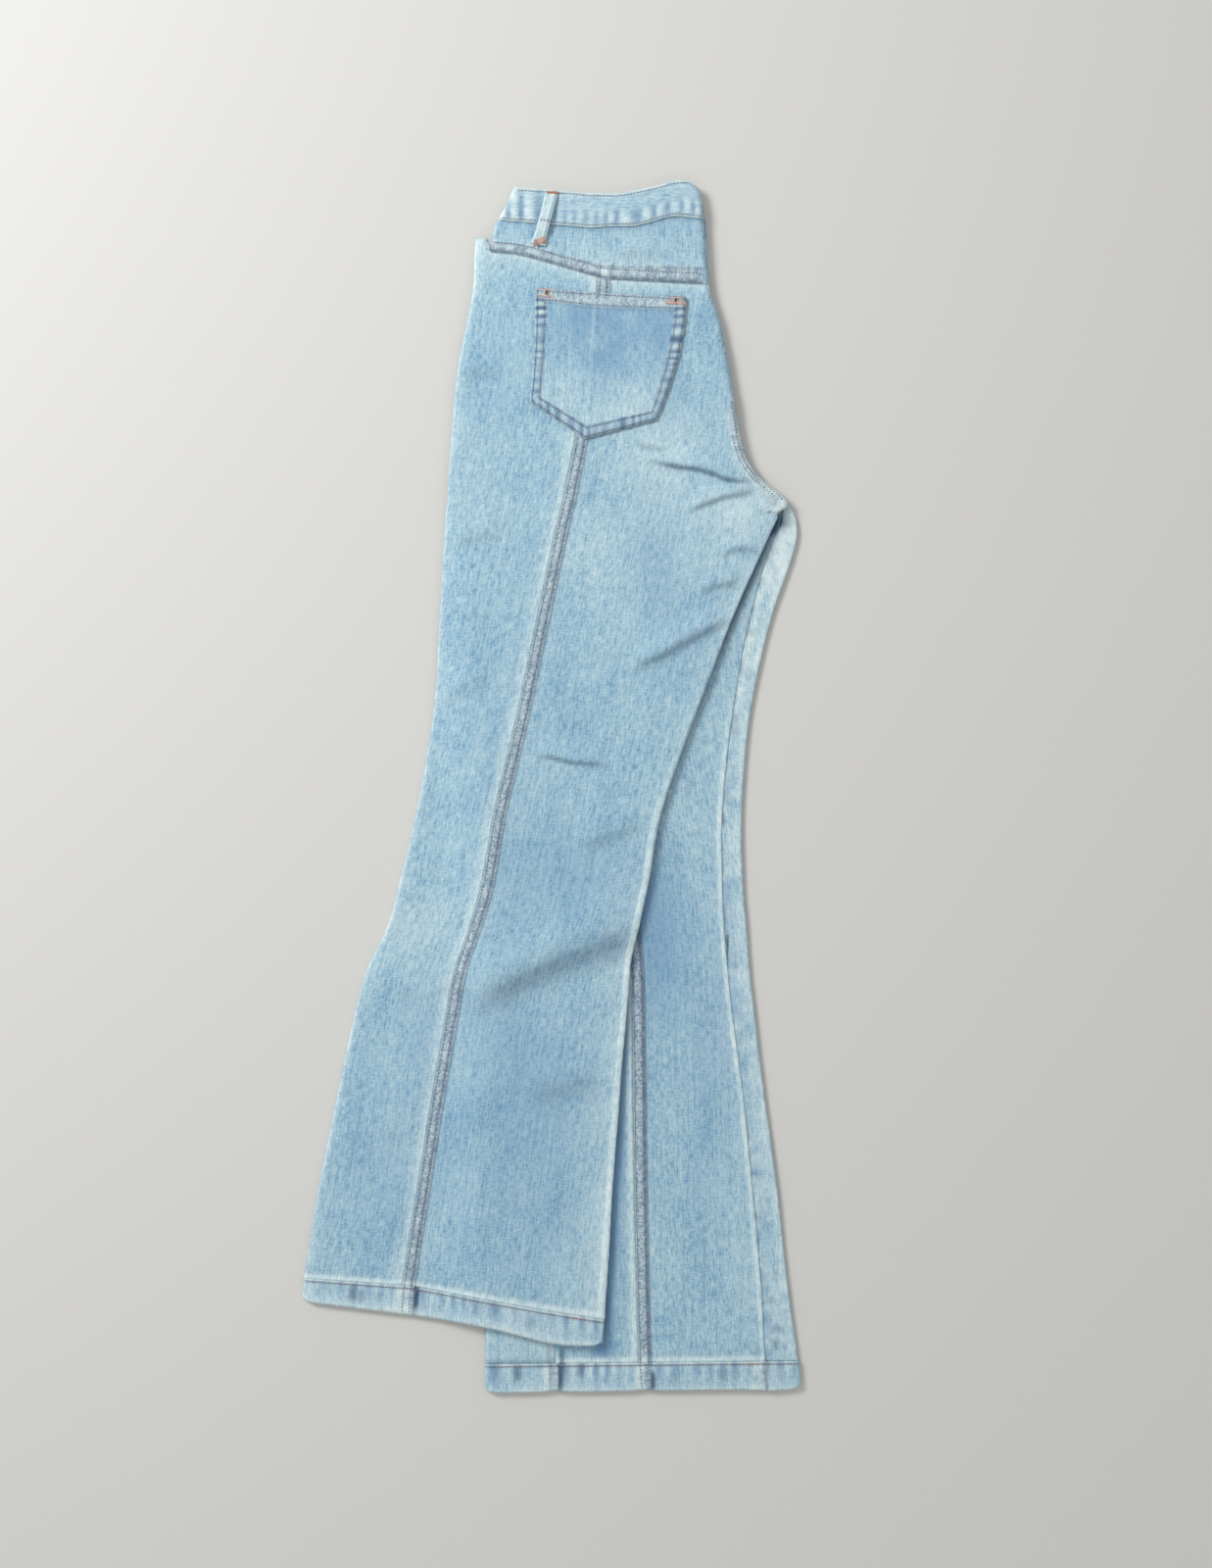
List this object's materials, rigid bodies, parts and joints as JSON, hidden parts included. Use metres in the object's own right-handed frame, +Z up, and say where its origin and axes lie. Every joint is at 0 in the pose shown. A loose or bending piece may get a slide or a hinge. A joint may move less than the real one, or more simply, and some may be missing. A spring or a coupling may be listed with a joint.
{
  "type": "bootcut jeans laid flat",
  "caption": "Light washed bootcut jeans laid flat and folded lengthwise, backs outside, with a yoke, patch pocket, belt loop and flared turned-up hems.",
  "frame": {"origin": "centre of the bounding box at the floor that the jeans lie on", "axes": "+Y from the hems to the waist, +X from the side folds to the inner edges, +Z up from the floor through the layers"},
  "size_m": [0.4594, 1.1127, 0.0145],
  "materials": {
    "denim": "light stone-washed cotton twill denim, slubby, matt",
    "denim_trim": "the same denim in several thicknesses, paler along its worn edges, with grey and rust thread",
    "rivet": "small worn copper-plated rivet, dull brown"
  },
  "bodies": {
    "root": {"waistband": "denim_trim", "belt_loop": "denim_trim", "yoke_right": "denim", "yoke_left": "denim", "back_inner_right": "denim", "back_outer_right": "denim", "front_outer_right": "denim", "front_inner_right": "denim", "back_inner_left": "denim", "back_outer_left": "denim", "front_outer_left": "denim", "front_inner_left": "denim", "hem_right": "denim_trim", "hem_left": "denim_trim", "back_pocket": "denim_trim", "rivet_side": "rivet", "rivet_centre": "rivet"}
  },
  "joints": []
}
